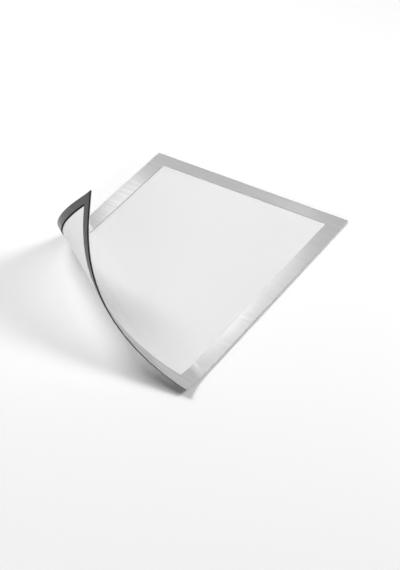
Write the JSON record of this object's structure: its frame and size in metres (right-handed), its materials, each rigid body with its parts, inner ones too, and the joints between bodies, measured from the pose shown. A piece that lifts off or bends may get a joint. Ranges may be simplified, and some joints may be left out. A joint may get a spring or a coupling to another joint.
{
  "type": "magnetic photo frame",
  "caption": "Flexible magnetic A4 frame with a silver border and a clear window, one corner curled up, the corner uncurls to flat.",
  "frame": {"origin": "middle of the uncurled frame's outline, at the height of the surface its magnetic strips lie on; it is the bounding box's bottom centre within 0.5 mm", "axes": "+X along the 236 mm width, +Y along the 323 mm height towards the edge away from the curl, +Z out of the window; the curled corner is the one at -X -Y"},
  "size_m": [0.2366, 0.3224, 0.1191],
  "materials": {
    "silver_face": "silver coated film with fine brushed lines",
    "window_film": "clear low glare film",
    "photo_sheet": "plain white matt paper",
    "magnetic_rubber": "smooth dark grey magnetic rubber"
  },
  "bodies": {
    "frame_flat": {"magnet_left_flat": "magnetic_rubber", "magnet_right_flat": "magnetic_rubber", "magnet_top_flat": "magnetic_rubber", "photo_sheet_flat": "photo_sheet", "silver_face_flat": "silver_face", "window_film_flat": "window_film"},
    "bend_1": {"magnet_bottom_bend_1": "magnetic_rubber", "magnet_left_bend_1": "magnetic_rubber", "magnet_right_bend_1": "magnetic_rubber", "photo_sheet_bend_1": "photo_sheet", "silver_face_bend_1": "silver_face", "window_film_bend_1": "window_film"},
    "bend_2": {"magnet_bottom_bend_2": "magnetic_rubber", "magnet_left_bend_2": "magnetic_rubber", "photo_sheet_bend_2": "photo_sheet", "silver_face_bend_2": "silver_face", "window_film_bend_2": "window_film"},
    "bend_3": {"magnet_bottom_bend_3": "magnetic_rubber", "magnet_left_bend_3": "magnetic_rubber", "photo_sheet_bend_3": "photo_sheet", "silver_face_bend_3": "silver_face", "window_film_bend_3": "window_film"},
    "bend_4": {"magnet_bottom_bend_4": "magnetic_rubber", "magnet_left_bend_4": "magnetic_rubber", "photo_sheet_bend_4": "photo_sheet", "silver_face_bend_4": "silver_face", "window_film_bend_4": "window_film"},
    "bend_5": {"magnet_bottom_bend_5": "magnetic_rubber", "magnet_left_bend_5": "magnetic_rubber", "photo_sheet_bend_5": "photo_sheet", "silver_face_bend_5": "silver_face", "window_film_bend_5": "window_film"},
    "bend_6": {"magnet_bottom_bend_6": "magnetic_rubber", "magnet_left_bend_6": "magnetic_rubber", "photo_sheet_bend_6": "photo_sheet", "silver_face_bend_6": "silver_face", "window_film_bend_6": "window_film"},
    "bend_7": {"magnet_bottom_bend_7": "magnetic_rubber", "magnet_left_bend_7": "magnetic_rubber", "photo_sheet_bend_7": "photo_sheet", "silver_face_bend_7": "silver_face", "window_film_bend_7": "window_film"},
    "bend_8": {"magnet_bottom_bend_8": "magnetic_rubber", "magnet_left_bend_8": "magnetic_rubber", "photo_sheet_bend_8": "photo_sheet", "silver_face_bend_8": "silver_face", "window_film_bend_8": "window_film"},
    "bend_9": {"magnet_bottom_bend_9": "magnetic_rubber", "magnet_left_bend_9": "magnetic_rubber", "photo_sheet_bend_9": "photo_sheet", "silver_face_bend_9": "silver_face", "window_film_bend_9": "window_film"}
  },
  "joints": [
    {"name": "corner_curl", "type": "hinge", "parent": "frame_flat", "child": "bend_1", "pos_m": [0, -0.064, 0.0019], "axis": [0.8423, -0.539, 0], "range_deg": [-3.6, 18]},
    {"name": "fold_2", "type": "hinge", "parent": "bend_1", "child": "bend_2", "pos_m": [-0.00417, -0.08248, 0.00769], "axis": [0.8238, -0.5667, 0.0108], "range_deg": [-3.31, 16.51]},
    {"name": "fold_3", "type": "hinge", "parent": "bend_2", "child": "bend_3", "pos_m": [-0.02167, -0.08814, 0.01759], "axis": [0.8068, -0.5901, 0.0307], "range_deg": [-3.01, 15.01]},
    {"name": "fold_4", "type": "hinge", "parent": "bend_3", "child": "bend_4", "pos_m": [-0.03538, -0.09157, 0.03001], "axis": [0.7922, -0.6076, 0.0573], "range_deg": [-2.91, 14.51]},
    {"name": "fold_5", "type": "hinge", "parent": "bend_4", "child": "bend_5", "pos_m": [-0.0454, -0.09263, 0.04378], "axis": [0.7808, -0.6184, 0.0887], "range_deg": [-3.01, 15.01]},
    {"name": "fold_6", "type": "hinge", "parent": "bend_5", "child": "bend_6", "pos_m": [-0.05183, -0.09121, 0.05789], "axis": [0.7738, -0.6214, 0.1229], "range_deg": [-2.81, 14.01]},
    {"name": "fold_7", "type": "hinge", "parent": "bend_6", "child": "bend_7", "pos_m": [-0.05506, -0.08774, 0.07137], "axis": [0.771, -0.617, 0.1576], "range_deg": [-2.31, 11.51]},
    {"name": "fold_8", "type": "hinge", "parent": "bend_7", "child": "bend_8", "pos_m": [-0.05578, -0.08301, 0.08369], "axis": [0.7718, -0.6065, 0.1911], "range_deg": [-1.61, 8.01]},
    {"name": "fold_9", "type": "hinge", "parent": "bend_8", "child": "bend_9", "pos_m": [-0.05478, -0.07785, 0.09478], "axis": [0.7747, -0.5918, 0.2228], "range_deg": [-1.21, 6.01]}
  ],
  "couplings": [
    {"joint": "fold_2", "follows": "corner_curl", "ratio": 0.91667},
    {"joint": "fold_3", "follows": "corner_curl", "ratio": 0.83333},
    {"joint": "fold_4", "follows": "corner_curl", "ratio": 0.80556},
    {"joint": "fold_5", "follows": "corner_curl", "ratio": 0.83333},
    {"joint": "fold_6", "follows": "corner_curl", "ratio": 0.77778},
    {"joint": "fold_7", "follows": "corner_curl", "ratio": 0.63889},
    {"joint": "fold_8", "follows": "corner_curl", "ratio": 0.44444},
    {"joint": "fold_9", "follows": "corner_curl", "ratio": 0.33333}
  ]
}
